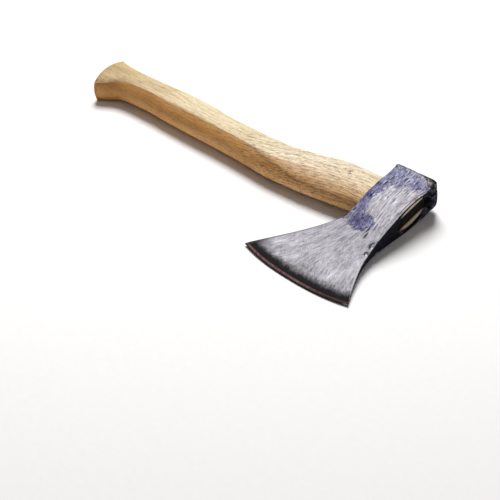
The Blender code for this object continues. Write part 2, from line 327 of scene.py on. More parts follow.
ASH_TONES = (
    (0.38, (0.50, 0.37, 0.182)),
    (0.5, (0.615, 0.50, 0.292)),
    (0.62, (0.69, 0.60, 0.39)),
)
PALER_TINT = (1.16, 1.23, 1.5)
BROWNER_TINT = (0.76, 0.68, 0.54)
# golden side: partly the wood's tone, partly painted shade
GOLDEN_TINT = (1.12, 0.73, 0.395)
# painted shade just below the crease
BELOW_CREASE_SHADE_TINT = (0.8, 0.77, 0.7)
# painted light on faces turned down
UNDER_LIGHT_TINT = (1.14, 1.16, 1.2)
EARLY_WOOD = (0.45, 0.29, 0.12)
PORE_BROWN = (0.15, 0.075, 0.027)
KNOT_DARK = (0.06, 0.03, 0.015)
CREASE_BROWN = (0.14, 0.065, 0.022)
STREAK_BROWN = (0.11, 0.045, 0.016)
BUTT_BROWN = (0.25, 0.10, 0.04)
END_GRAIN = (0.66, 0.56, 0.43)
# painted shade round the tenon's end, by the eye's wall
EYE_SHADE_BROWN = (0.05, 0.02, 0.01)
# nearly black: the wedge's dark stain, and painted shade of the kerf it is sunk in
WEDGE_AND_SHADE_TONES = (
    (0.38, (0.003, 0.003, 0.002)),
    (0.52, (0.008, 0.007, 0.005)),
    (0.68, (0.032, 0.026, 0.017)),
)
PAPER_TONES = ((0.3, (0.90, 0.90, 0.905)), (0.7, (0.92, 0.92, 0.925)))

YEAR_RING = 2.2  # mm
KNOT_AT = (-40.0, 3.0)
KNOT_SIZE = (11.0, 6.0)


# ---------------------------------------------------------------- numbers
def track(table, x):
    """Value at x of the smooth curve through a table of (x, value), without overshoot between them."""
    rows = sorted(table)
    if x <= rows[0][0]:
        return rows[0][1]
    if x >= rows[-1][0]:
        return rows[-1][1]
    slopes = [(b[1] - a[1]) / (b[0] - a[0]) for a, b in zip(rows, rows[1:])]
    tangents = [slopes[0]]
    for left, right in zip(slopes, slopes[1:]):
        tangents.append(0.0 if left * right <= 0 else 2 * left * right / (left + right))
    tangents.append(slopes[-1])
    i = next(k for k in range(len(slopes)) if x <= rows[k + 1][0])
    width = rows[i + 1][0] - rows[i][0]
    s = (x - rows[i][0]) / width
    return (
        rows[i][1] * (1 + 2 * s) * (1 - s) ** 2
        + rows[i + 1][1] * s * s * (3 - 2 * s)
        + tangents[i] * width * s * (1 - s) ** 2
        - tangents[i + 1] * width * s * s * (1 - s)
    )


def mix(a, b, share):
    return a + (b - a) * share


def step_up(low, high, x):
    """0 below low, 1 above high and smooth between; works on arrays."""
    s = np.clip((x - low) / (high - low), 0, 1)
    return s * s * (3 - 2 * s)


def signed_power(value, power):
    return math.copysign(abs(value) ** power, value)


def rough(points, scale, octaves=3):
    """Fractal noise, about -1 to 1, at each point of an array."""
    return np.array(
        [noise.fractal(Vector(p) * scale, 0.8, 2.1, octaves) for p in points]
    )


# ---------------------------------------------------------------- meshes
def lying_matrix():
    """From the hatchet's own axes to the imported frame, read off the flat of the poll."""
    poll = next(m for m in frame["record"]["mounts"] if m["name"] == "poll_face")
    to_poll = Vector(poll["axis"]).normalized()
    along = Vector((to_poll.z, 0, -to_poll.x)).normalized()
    turn = Matrix((along, to_poll, along.cross(to_poll))).transposed()
    low = track(HAND_SIDE, POLL_Y) + POLL_ROUND_UNDER[0]
    middle = (low + track(TOP_SIDE, POLL_Y) - POLL_ROUND_TOP[0]) / 2
    shift = Vector(poll["pos_m"]) - turn @ Vector((middle, POLL_Y, 0)) * MM
    return Matrix.Translation(shift) @ turn.to_4x4()


def loft(name, rings):
    """A closed skin over rings of equally many points."""
    bm = bmesh.new()
    loops = [[bm.verts.new(point) for point in ring] for ring in rings]
    for near, far in zip(loops, loops[1:]):
        for i in range(len(near)):
            j = (i + 1) % len(near)
            bm.faces.new((near[i], near[j], far[j], far[i]))
    bm.faces.new(list(reversed(loops[0])))
    bm.faces.new(loops[-1])
    return mesh_object(name, bm)


def mesh_object(name, bm):
    bmesh.ops.remove_doubles(bm, verts=bm.verts, dist=1e-4)
    bmesh.ops.recalc_face_normals(bm, faces=bm.faces)
    mesh = bpy.data.meshes.new(name)
    bm.to_mesh(mesh)
    bm.free()
    obj = bpy.data.objects.new(name, mesh)
    bpy.context.scene.collection.objects.link(obj)
    return obj


def cut(obj, cutter):
    """Takes the cutter out of the object, for good."""
    modifier = obj.modifiers.new("cut", "BOOLEAN")
    modifier.operation = "DIFFERENCE"
    modifier.object = cutter
    graph = bpy.context.evaluated_depsgraph_get()
    mesh = bpy.data.meshes.new_from_object(obj.evaluated_get(graph))
    obj.modifiers.clear()
    obj.data = mesh
    bpy.data.objects.remove(cutter)


def points_of(mesh):
    points = np.empty(len(mesh.vertices) * 3)
    mesh.vertices.foreach_get("co", points)
    return points.reshape(-1, 3)


def normals_of(mesh):
    normals = np.empty(len(mesh.vertices) * 3)
    mesh.vertex_normals.foreach_get("vector", normals)
    return normals.reshape(-1, 3)


def move_points(mesh, points):
    mesh.vertices.foreach_set("co", points.ravel())
    mesh.update()


def store(mesh, name, values):
    """Keeps one number or one vector per point, for the material to read."""
    vector = values.ndim == 2
    kind, field = ("FLOAT_VECTOR", "vector") if vector else ("FLOAT", "value")
    attribute = mesh.attributes.new(name, kind, "POINT")
    attribute.data.foreach_set(field, np.ascontiguousarray(values, np.float32).ravel())


def finish_piece(obj, node, material, smooth_angle):
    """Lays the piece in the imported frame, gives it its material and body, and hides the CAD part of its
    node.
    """
    obj.data.shade_smooth()
    obj.data.set_sharp_from_angle(angle=math.radians(smooth_angle))
    obj.data.transform(LYING @ Matrix.Scale(MM, 4))
    move_points(obj.data, np.clip(points_of(obj.data), *np.array(cad_box)))
    obj.data.materials.clear()
    obj.data.materials.append(material)
    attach(obj, "root")
    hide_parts(node)


# ---------------------------------------------------------------- head shape
def edge_y(across):
    """y of the cutting edge, where across runs from -1 at the heel to 1 at the toe."""
    chord = mix(HEEL_Y, TOE_Y, (across + 1) / 2)
    return chord - EDGE_BELLY * (1 - abs(across) ** EDGE_BELLY_POWER)


def quarter(steps):
    """Shares (out, down) along a quarter round, leaving out both of its ends."""
    turns = [math.pi / 2 * (i + 1) / (steps + 1) for i in range(steps)]
    return [(math.sin(turn), 1 - math.cos(turn)) for turn in turns]


def poll_bulge(y, x_top):
    """How far the middle of the top side stands out beyond its two arrises, by the poll."""
    return max(0.0, x_top - POLL_ARRIS_X) if y > 0 else 0.0


def head_ring(y_of, half_of, arris, inset_hand=0.0, inset_top=0.0):
    """One closed section of the head: upper cheek, top side, lower cheek, hand side."""
    x_hand = track(HAND_SIDE, y_of(-1)) + inset_hand
    x_top = track(TOP_SIDE, y_of(1)) - inset_top
    bulge = poll_bulge(y_of(1), x_top)
    x_top -= bulge
    steps = np.linspace(-1, 1, CHEEK_POINTS)
    cheek = [
        (mix(x_hand + arris, x_top - arris, (a + 1) / 2), y_of(a), half_of(a))
        for a in steps
    ]
    half = half_of(1)
    top_round = [
        (x_top - arris + arris * out, y_of(1), half - arris * down)
        for out, down in quarter(ARRIS_STEPS)
    ]
    wall = half - arris
    top = [
        (x_top + bulge * (1 - abs(share) ** BULGE_POWER), y_of(1), wall * share)
        for share in np.linspace(1, -1, SIDE_POINTS)
    ]
    half = half_of(-1)
    hand_round = [
        (x_hand + arris - arris * out, y_of(-1), -half + arris * down)
        for out, down in quarter(ARRIS_STEPS)
    ]
    wall = half - arris
    hand = [(x_hand, y_of(-1), z) for z in np.linspace(-wall, wall, SIDE_POINTS)]
    top_under = [(x, y, -z) for x, y, z in reversed(top_round)]
    hand_over = [(x, y, -z) for x, y, z in reversed(hand_round)]
    lower = [(x, y, -z) for x, y, z in reversed(cheek)]
    return cheek + top_round + top + top_under + lower + hand_round + hand + hand_over


def poll_inset(rounding, back):
    """How far a rounded corner has drawn in at a distance behind the poll's flat."""
    inset, reach = rounding
    share = max(0.0, 1 - back / reach)
    return inset * (1 - math.sqrt(1 - share * share))


def poll_rings():
    rings = []
    for i in range(POLL_RINGS):
        back = POLL_ROUND_TOP[1] * (1 - math.cos(math.pi / 2 * i / POLL_RINGS))
        y = POLL_Y - back
        half = track(HEAD_THICKNESS, y) / 2 - poll_inset(POLL_ROUND_CHEEK, back)
        rings.append(
            head_ring(
                lambda across, y=y: y,
                lambda across, half=half: half,
                ARRIS,
                poll_inset(POLL_ROUND_UNDER, back),
                poll_inset(POLL_ROUND_TOP, back),
            )
        )
    return rings


def eye_block_rings():
    rings = []
    first = POLL_Y - POLL_ROUND_TOP[1]
    for i in range(EYE_BLOCK_RINGS):
        y = mix(first, NECK_Y, i / EYE_BLOCK_RINGS)
        half = track(HEAD_THICKNESS, y) / 2
        rings.append(
            head_ring(lambda across, y=y: y, lambda across, half=half: half, ARRIS)
        )
    return rings


def blade_rings():
    """Sections from the neck to the cutting edge, each bowed a little more like the edge."""
    rings = []
    middle = edge_y(0)
    for i in range(BLADE_RINGS + 1):
        y = mix(NECK_Y, middle, i / BLADE_RINGS)
        share = (NECK_Y - y) / (NECK_Y - middle)
        half = track(HEAD_THICKNESS, y) / 2
        crown = BLADE_CROWN * min(1.0, share / BLADE_CROWN_RUN)
        rings.append(
            head_ring(
                lambda across, share=share: mix(NECK_Y, edge_y(across), share),
                lambda across, half=half, crown=crown: half * (1 - crown * across**2),
                min(ARRIS, ARRIS_LIMIT * half),
            )
        )
    return rings


def eye_oval(x, count, gap=0.0, start=0.0):
    """The eye's section at x, one gap smaller. Its first point lies at the angle start."""
    share = (x - HEAD_UNDER) / (HEAD_TOP - HEAD_UNDER)
    length = mix(EYE_UNDER[0], EYE_TOP[0], share) - gap
    width = mix(EYE_UNDER[1], EYE_TOP[1], share) - gap
    power = 2 / EYE_ROUNDNESS
    ring = []
    for i in range(count):
        turn = start + math.tau * i / count
        y = EYE_SHIFT + length * signed_power(math.cos(turn), power)
        ring.append((x, y, width * signed_power(math.sin(turn), power)))
    return ring


def wear_head(points, normals):
    """Forging undulation, worn arrises and dents. It only ever takes metal away."""
    wave = FORGED_WAVE[0] * (0.5 + 0.5 * rough(points, FORGED_WAVE[1]))
    chatter = FORGED_CHATTER[0] * (0.5 + 0.5 * rough(points, FORGED_CHATTER[1], 2))
    start, end, smoother = GROUND_SMOOTH
    loss = (wave + chatter) * (1 - smoother * step_up(start, end, points[:, 1]))
    for centre, radii, depth in DENTS:
        loss += depth * dent_share(points, centre, radii)
    return points - normals * loss[:, None]


def dent_share(points, centre, radii):
    """1 in the middle of a dent and 0 outside it, with a firm rim."""
    away = np.linalg.norm((points - np.array(centre)) / np.array(radii), axis=1)
    return np.exp(-(away**4))


# ---------------------------------------------------------------- head values for the material
def head_across(points):
    """-1 at the hand side to 1 at the top side, at each point's own y."""
    hand = np.interp(points[:, 1], HEAD_YS, [track(HAND_SIDE, y) for y in HEAD_YS])
    top = np.interp(points[:, 1], HEAD_YS, [track(TOP_SIDE, y) for y in HEAD_YS])
    return (points[:, 0] - hand) / (top - hand) * 2 - 1


def head_half(y):
    """Half the head's thickness at each y."""
    return np.interp(y, HEAD_YS, [track(HEAD_THICKNESS, value) / 2 for value in HEAD_YS])


def edge_distance(points):
    """How far each point lies in from the cutting edge."""
    heel_x, toe_x = HAND_SIDE[-1][1], TOP_SIDE[-1][1]
    across = np.clip((points[:, 0] - heel_x) / (toe_x - heel_x) * 2 - 1, -1, 1)
    chord = HEEL_Y + (TOE_Y - HEEL_Y) * (across + 1) / 2
    return points[:, 1] - chord + EDGE_BELLY * (1 - np.abs(across) ** EDGE_BELLY_POWER)


def spot(points, x, y, radius_x, radius_y):
    """1 in the middle of a round patch on both cheeks, falling to 0 at its rim."""
    away = np.hypot((points[:, 0] - x) / radius_x, (points[:, 1] - y) / radius_y)
    return 1 - step_up(*SPOT_RIM, away)


def paint_left(points):
    """How much of the paint has stayed on the cheeks: by the hand side, round the poll and at the neck."""
    flat = points * (1, 1, 0.2)
    x = points[:, 0] + 5.0 * rough(flat, 0.11) + 2.0 * rough(flat + 40, 0.4)
    y = points[:, 1] + 7.0 * rough(flat - 40, 0.11) + 3.0 * rough(flat + 80, 0.4)
    hand_margin = 0.78 * (1 - step_up(-11, -2, x)) * step_up(-40, -28, y)
    by_poll = 0.66 * step_up(-1, 12, y - 0.3 * (x - 5))
    neck_blob = spot(points, *NECK_PAINT)
    ground = spot(points, *GROUND_BARE)
    kept = np.maximum(np.maximum(hand_margin, by_poll), neck_blob)
    return np.clip(kept - 0.9 * ground * (1 - 0.6 * neck_blob), 0, 1)


def poll_depth(points):
    """How far each point lies in from the poll's outline, seen square on to the cheek."""
    x, y = points[:, 0], points[:, 1]
    across, back = POLL_ROUND_TOP
    middle = track(TOP_SIDE, POLL_Y) - across
    out_x = np.maximum(0, (x - middle) / across)
    out_y = (y - POLL_Y + back) / back
    corner = (1 - np.hypot(out_x, np.maximum(0, out_y))) * back
    return np.where(out_y > 0, corner, back)


def poll_values(points, facing):
    """How crusted, how black along the outline (a burred edge with painted shade on the rounded rim) and
    how scuffed inside it each point is, by the poll.
    """
    x, y = points[:, 0], points[:, 1]
    rim_width = mix(*CRUST_RIM, step_up(4, 18, x))
    depth = mix(POLL_Y - y, poll_depth(points), facing)
    inside_rim = depth - rim_width
    # black rim along the poll's outline: partly a burred edge, partly painted shade on the rounded rim
    burr_and_shade = (1 - step_up(0.3, 0.6, depth / rim_width)) * (0.6 + 0.4 * facing)
    flaky = np.clip(0.5 + 1.4 * rough(points * (1, 1, 0.2), 0.35), 0, 1)
    scuff = step_up(0.2, 0.9, inside_rim) * (1 - step_up(1.6, 3.0, inside_rim))
    scuff = scuff * flaky * (0.3 + 0.7 * step_up(-8, 4, x))
    return 1 - step_up(-1.2, 1.2, inside_rim), burr_and_shade, scuff


def worn_arris_and_highlight(points, normals, across):
    """1 on the top side's two arrises, worn bright, and on the lip just inside them, a painted highlight;
    less so by the edge.
    """
    y = points[:, 1]
    slope = np.abs(normals[:, 2])
    worn = step_up(0.2, 0.45, slope) * (1 - step_up(0.85, 0.97, slope))
    worn = worn * step_up(0.9, 0.97, across) * (1 - step_up(14, 22, y))
    # painted highlight along the lip just inside the arris
    lip = step_up(0.955, 0.97, across) * step_up(0.8, 0.97, slope)
    lip = lip * (1 - step_up(8, 14, y)) * step_up(-96, -84, y)
    worn = np.maximum(worn, 0.85 * lip)
    worn[np.abs(points[:, 2]) < head_half(y) - ARRIS_WEAR] = 0
    return worn * (0.5 + 0.5 * step_up(-70, -30, y))


def border_lines(y, across):
    """1 in the dark lines just inside the blade's hand side and the eye block's top side."""
    inner = step_up(0.86, 0.9, across) * (1 - step_up(0.94, 0.955, across))
    inner = inner * step_up(-34, -12, y) * (1 - step_up(14, 20, y))
    hand = step_up(0.91, 0.985, -across) * step_up(-30, -42, y)
    return np.maximum(hand, inner)


def store_head_values(mesh):
    points, normals = points_of(mesh), normals_of(mesh)
    x, y, z = points.T
    across = head_across(points)
    eye_y, eye_z = EYE_TOP[0] + EYE_RIM, EYE_TOP[1] + EYE_RIM
    in_eye = np.hypot((y - EYE_SHIFT) / eye_y, z / eye_z)
    walls = (in_eye < 1.02) & (x < HEAD_TOP + 0.2)
    facing = step_up(0.45, 0.8, np.abs(normals[:, 2]))
    facing[walls] = 0
    dents = sum(dent_share(points, centre, radii) for centre, radii, _ in DENTS)
    poll, burr_and_shade, scuff = poll_values(points, facing)
    store(mesh, "own_mm", points)
    fan = (across * FAN_HALF_WIDTH, y, np.sign(z) * CHEEKS_APART)
    store(mesh, "fan_mm", np.column_stack(fan))
    store(mesh, "cheek", facing)
    store(mesh, "paint", paint_left(points))
    store(mesh, "from_edge", edge_distance(points))
    store(mesh, "border", border_lines(y, across))
    store(mesh, "poll", poll)
    store(mesh, "burr_and_shade", burr_and_shade)
    store(mesh, "scuff", scuff)
    # worn bright arrises, with a painted highlight along the lip inside them
    store(mesh, "worn", worn_arris_and_highlight(points, normals, across))
    store(mesh, "smudge", spot(points, *SMUDGE))
    from_heel = np.hypot(x - HAND_SIDE[-1][1], y - HEEL_Y)
    store(mesh, "heel", step_up(*HEEL_DARK, from_heel))
    store(mesh, "dent", np.clip(dents, 0, 1))


def make_head():
    head = loft("head_forging", poll_rings() + eye_block_rings() + blade_rings())
    worn = wear_head(points_of(head.data), normals_of(head.data))
    move_points(head.data, worn)
    planes = (HEAD_UNDER - EYE_OVERRUN, HEAD_UNDER, HEAD_TOP, HEAD_TOP + EYE_OVERRUN)
    cut(head, loft("eye_cutter", [eye_oval(x, EYE_POINTS) for x in planes]))
    store_head_values(head.data)
    finish_piece(head, "axe_head", steel_material(), 40)


# ---------------------------------------------------------------- haft
def haft_section(x, shrink=1.0):
    """Section as (y, z) points: two low-crowned cheeks and two round sides that meet in a crease."""
    low, high = track(EDGE_SIDE, x), track(POLL_SIDE, x)
    centre, half_width = (low + high) / 2, (high - low) / 2
    half_thick = track(HAFT_HALF_THICKNESS, x)
    cheek, crown = track(HAFT_CHEEK, x), track(HAFT_CROWN, x)
    side_scale = (half_thick - crown) / math.sqrt(1 - cheek * cheek)
    crease = math.acos(cheek)
    half = []
    for i in range(HAFT_SIDE_STEPS):
        turn = mix(-crease, crease, i / HAFT_SIDE_STEPS)
        half.append((math.cos(turn), side_scale * math.sin(turn)))
    for i in range(HAFT_CHEEK_STEPS):
        u = mix(1, -1, i / HAFT_CHEEK_STEPS)
        half.append((cheek * u, half_thick - crown * u * u))
    section = half + [(-u, -z) for u, z in half]
    return [(centre + shrink * half_width * u, shrink * z) for u, z in section]


def butt_rings():
    """The domed butt: from its middle outwards, then over a rounded corner."""

    def dome(y, z):
        return BUTT_X + ((y - BUTT_CROWN_Y) ** 2 + z * z) / (2 * BUTT_DOME_RADIUS)

    half_width = track(POLL_SIDE, BUTT_SECTION_X) - BUTT_CROWN_Y
    rings = []
    for shrink in np.linspace(*BUTT_RINGS):
        ring = haft_section(BUTT_SECTION_X, shrink)
        rings.append([(dome(y, z), y, z) for y, z in ring])
    for turn in np.radians(BUTT_CORNER_TURNS):
        shrink = 1 - BUTT_CORNER * (1 - math.cos(turn)) / half_width
        ring = haft_section(BUTT_SECTION_X, shrink)
        lift = BUTT_CORNER * (1 - math.sin(turn))
        rings.append([(dome(y, z) + lift, y, z) for y, z in ring])
    return rings


def tenon_ring(x):
    """The eye's oval, with as many points as the haft's section."""
    start = -math.acos(track(HAFT_CHEEK, HEAD_UNDER))
    return eye_oval(x, 2 * (HAFT_SIDE_STEPS + HAFT_CHEEK_STEPS), FIT_GAP, start)


def tapered_block(name, thin_x, thick_x, thin, thick, y_ends, steps=(1, 1, 1)):
    """A box between two x planes, thinner in z at its inner end, with a grid of points on its faces."""
    bm = bmesh.new()
    bmesh.ops.create_cube(bm, size=1.0)
    if steps != (1, 1, 1):
        for axis in range(3):
            for k in range(1, steps[axis]):
                normal = Vector([float(i == axis) for i in range(3)])
                bmesh.ops.bisect_plane(
                    bm,
                    geom=bm.verts[:] + bm.edges[:] + bm.faces[:],
                    plane_co=normal * (k / steps[axis] - 0.5),
                    plane_no=normal,
                )
    for vertex in bm.verts:
        share = vertex.co.x + 0.5
        vertex.co.z *= mix(thin, thick, share)
        vertex.co.x = mix(thin_x, thick_x, share)
        vertex.co.y = mix(*y_ends, vertex.co.y + 0.5)
    return mesh_object(name, bm)


def store_wood_values(mesh):
    """Where the haft turns towards the edge or the poll (a golden tone that is partly the wood's and
    partly painted shade), its crease, the painted shade below the crease, the painted light on faces
    turned down, and its butt.
    """
    points, normals = points_of(mesh), normals_of(mesh)
    store(mesh, "own_mm", points)
    facing = -normals[:, 1]
    swell = step_up(*SWELL, points[:, 0])
    turned = step_up(mix(*TURN_FROM, swell), mix(*TURN_TO, swell), facing)
    # painted shade: the poll side darkened golden, partly the wood's tone
    poll_side_shade = 0.6 * step_up(0.5, 0.95, -facing)
    store(mesh, "toward_edge", np.maximum(turned, poll_side_shade))
    beyond = facing - mix(*CREASE_AT, swell**1.5)
    store(mesh, "crease", np.exp(-((beyond / mix(*CREASE_WIDTH, swell)) ** 2)))
    # painted shade just below the crease
    below = step_up(-0.12, 0.02, beyond) * (1 - step_up(0.1, 0.45, beyond))
    store(mesh, "below", below * (1 - swell))
    # painted light on the faces turned down
    store(mesh, "under", 1 - step_up(-0.25, 0.35, normals[:, 2]))
    store(mesh, "butt", 1 - step_up(BUTT_X, BUTT_SECTION_X + 3, points[:, 0]))


def make_haft():
    shoulder = HEAD_UNDER - FIT_GAP
    first = BUTT_SECTION_X + 2 * BUTT_CORNER
    steps = round((shoulder - first) / HAFT_RING_STEP)
    rings = butt_rings()
    for i in range(steps + 1):
        x = mix(first, shoulder, i / steps)
        rings.append([(x, y, z) for y, z in haft_section(x)])
    rings += [tenon_ring(x) for x in (shoulder, HEAD_TOP - TENON_RECESS)]
    haft = loft("haft_ash", rings)
    points, normals = points_of(haft.data), normals_of(haft.data)
    wave = 0.5 + 0.5 * rough(points * (0.35, 1, 1), SHAVED_WAVE[1])
    outside = step_up(HEAD_UNDER, HEAD_UNDER - 3, points[:, 0])
    move_points(haft.data, points - normals * (SHAVED_WAVE[0] * wave * outside)[:, None])
    top = HEAD_TOP + KERF_OVERRUN
    slope = (WEDGE_THICK - WEDGE_THIN) / WEDGE_DEPTH
    kerf = tapered_block(
        "kerf_cutter",
        HEAD_TOP - WEDGE_RECESS - WEDGE_DEPTH - KERF_EXTRA,
        top,
        WEDGE_THIN - slope * KERF_EXTRA + 2 * FIT_GAP,
        WEDGE_THICK + slope * (top - HEAD_TOP + WEDGE_RECESS) + 2 * FIT_GAP,
        KERF_ENDS,
    )
    cut(haft, kerf)
    store_wood_values(haft.data)
    finish_piece(haft, "haft", ash_material(), 32)


def make_wedge():
    top = HEAD_TOP - WEDGE_RECESS
    wedge = tapered_block(
        "wedge_driven",
        top - WEDGE_DEPTH,
        top,
        WEDGE_THIN,
        WEDGE_THICK,
        WEDGE_ENDS,
        WEDGE_STEPS,
    )
    points, normals = points_of(wedge.data), normals_of(wedge.data)
    end = step_up(top - 0.5, top, points[:, 0])
    torn = 0.5 + 0.5 * rough(points * (1, 0.5, 2.2), TORN_WEDGE[1])
    move_points(wedge.data, points - normals * (TORN_WEDGE[0] * torn * end)[:, None])
    store(wedge.data, "own_mm", points)
    finish_piece(wedge, "eye_wedge", wedge_material(), 40)


# ---------------------------------------------------------------- materials
class Shading:
    """Builds one node material. Each method adds a node and gives back its output."""

    def __init__(self, name):
        self.material = bpy.data.materials.new(name)
        self.material.use_nodes = True
        self.tree = self.material.node_tree
        self.surface = self.tree.nodes["Principled BSDF"]

    def feed(self, socket, value):
        if isinstance(value, bpy.types.NodeSocket):
            self.tree.links.new(value, socket)
        elif socket.type == "RGBA":
            socket.default_value = (*value, 1)
        else:
            socket.default_value = value

    def add(self, kind, inputs, output=0, **settings):
        node = self.tree.nodes.new("ShaderNode" + kind)
        for name, value in settings.items():
            setattr(node, name, value)
        for key, value in inputs.items():
            self.feed(node.inputs[key], value)
        return node.outputs[output]

    def value(self, name):
        return self.add("Attribute", {}, "Fac", attribute_name=name)

    def vector(self, name):
        return self.add("Attribute", {}, "Vector", attribute_name=name)

    def math(self, operation, a, b=0.0):
        return self.add("Math", {0: a, 1: b}, operation=operation)

    def plus(self, a, b):
        return self.math("ADD", a, b)

    def minus(self, a, b):
        return self.math("SUBTRACT", a, b)

    def times(self, a, b):
        return self.math("MULTIPLY", a, b)

    def over(self, a, b):
        return self.math("DIVIDE", a, b)

    def most(self, a, b):
        return self.math("MAXIMUM", a, b)

    def split(self, vector):
        node = self.tree.nodes.new("ShaderNodeSeparateXYZ")
        self.feed(node.inputs[0], vector)
        return node.outputs

    def join(self, x, y, z):
        return self.add("CombineXYZ", {0: x, 1: y, 2: z})

    def scaled(self, vector, scale):
        return self.add("VectorMath", {0: vector, 1: scale}, operation="MULTIPLY")

    def turned(self, vector, degrees, scale):
        """The vector turned about z and then scaled."""
        turned = self.add(
            "VectorRotate",
            {"Vector": vector, "Angle": math.radians(degrees)},
            rotation_type="Z_AXIS",
        )
        return self.scaled(turned, scale)

    def within(self, vector, centre, radii, ragged):
        """1 inside an ellipsoid and 0 outside it, with a crisp and slightly ragged rim."""
        away = self.add("VectorMath", {0: vector, 1: centre}, operation="SUBTRACT")
        away = self.scaled(away, tuple(1 / radius for radius in radii))
        away = self.add("VectorMath", {0: away}, 1, operation="LENGTH")
        return self.smooth(self.plus(away, ragged), 1.15, 0.8)

    def any_within(self, vector, spots, shift, grow, ragged):
        """1 inside any of the (centre, radii) spots, each one shifted and grown."""
        found = 0.0
        for centre, radii in spots:
            centre = tuple(a + b for a, b in zip(centre, shift))
            radii = tuple(radius * grow for radius in radii)
            found = self.most(found, self.within(vector, centre, radii, ragged))
        return found

    def noise(self, vector, detail=2.0, roughness=0.5, distortion=0.0, scale=1.0):
        inputs = {
            "Vector": vector,
            "Scale": scale,
            "Detail": detail,
            "Roughness": roughness,
            "Distortion": distortion,
        }
        return self.add("TexNoise", inputs)

    def smooth(self, value, low, high, to_low=0.0, to_high=1.0):
        inputs = {0: value, 1: low, 2: high, 3: to_low, 4: to_high}
        return self.add("MapRange", inputs, interpolation_type="SMOOTHSTEP")

    def blend(self, share, a, b, mode="MIX"):
        inputs = {0: share, 6: a, 7: b}
        return self.add("Mix", inputs, 2, data_type="RGBA", blend_type=mode)

    def ramp(self, value, *stops):
        node = self.tree.nodes.new("ShaderNodeValToRGB")
        elements = node.color_ramp.elements
        elements[0].position, elements[1].position = stops[0][0], stops[-1][0]
        elements[0].color, elements[1].color = (*stops[0][1], 1), (*stops[-1][1], 1)
        for position, colour in stops[1:-1]:
            elements.new(position).color = (*colour, 1)
        self.feed(node.inputs[0], value)
        return node.outputs[0]

    def bump(self, height, distance, strength=1.0, under=None):
        inputs = {"Height": height, "Distance": distance, "Strength": strength}
        if under is not None:
            inputs["Normal"] = under
        return self.add("Bump", inputs)

    def finish(self, **sockets):
        for name, value in sockets.items():
            self.feed(self.surface.inputs[name.replace("_", " ")], value)
        return self.material


def bare_steel(s, own, fan, own_y, long_fine, mottle, crossing):
    """Ground steel: fanning scratches, two crossing sets with painted glints along them, deep grooves and
    pale lines by the eye.
    """
    long_broad = s.noise(s.scaled(fan, (0.5, 0.05, 1)), 3, 0.6)
    smear = s.noise(s.scaled(fan, (0.09, 0.035, 0.1)), 4, 0.6, 0.6)
    tone = s.plus(s.times(long_fine, 0.42), s.times(long_broad, 0.2))
    tone = s.plus(tone, s.times(mottle, 0.38))
    tone = s.plus(tone, s.times(s.minus(smear, 0.5), 0.16))
    metal = s.ramp(tone, *STEEL_TONES)

    cross_a, cross_b = crossing
    scratch = s.most(s.smooth(cross_a, 0.6, 0.68), s.smooth(cross_b, 0.62, 0.7))
    metal = s.blend(s.times(scratch, 0.5), metal, SCRATCH_DARK)
    # painted glints: bright lines along the crossing scratches
    glint = s.most(s.smooth(cross_b, 0.4, 0.33), s.smooth(cross_a, 0.38, 0.31))
    metal = s.blend(s.times(glint, 0.2), metal, SCRATCH_GLINT)

    deep = s.smooth(s.noise(s.scaled(fan, (0.85, 0.1, 1)), 3, 0.7), 0.53, 0.6)
    deep = s.times(deep, s.smooth(own_y, -70.0, -25.0, 0.25, 0.85))
    metal = s.blend(deep, metal, GROOVE_DARK)
    pale = s.smooth(s.noise(s.scaled(fan, (0.6, 0.08, 1)), 3, 0.7, 0.3), 0.5, 0.6)
    pale = s.times(pale, s.smooth(own_y, -50.0, -20.0, 0.1, 0.6))
    metal = s.blend(pale, metal, GROUND_PALE)
    smudge = s.times(s.value("smudge"), s.smooth(mottle, 0.42, 0.56))
    return s.blend(s.times(smudge, 0.7), metal, SMUDGE_BROWN)


def old_paint(s, own, own_y, long_fine, chips):
    """The paint's colour and how much of it is left, worn through along the scratches."""
    wear = s.plus(s.times(chips, 0.9), s.times(long_fine, 0.7))
    worn = s.times(s.minus(wear, 0.8), 2.0)
    left = s.smooth(s.minus(s.value("paint"), worn), 0.34, 0.7)
    left = s.times(left, s.minus(1.0, s.value("scuff")))

    fine = s.noise(s.scaled(own, (0.62, 0.2, 0.6)), 5, 0.75)
    broad = s.noise(s.scaled(own, (0.16, 0.1, 0.15)), 2, 0.5)
    tone = s.plus(s.times(fine, 0.65), s.times(broad, 0.35))
    tone = s.plus(tone, s.smooth(own_y, 2.0, 26.0, -0.01, 0.045))
    colour = s.ramp(tone, *PAINT_TONES)
    strokes = s.smooth(s.noise(s.scaled(own, (0.7, 0.13, 1)), 3, 0.6, 0.2), 0.56, 0.62)
    colour = s.blend(s.times(strokes, 0.85), colour, PAINT_STROKE)
    flecks = s.smooth(s.noise(s.scaled(own, (0.8, 0.45, 1)), 3, 0.6), 0.6, 0.66)
    return s.blend(s.times(flecks, 0.4), colour, PAINT_FLECK), left


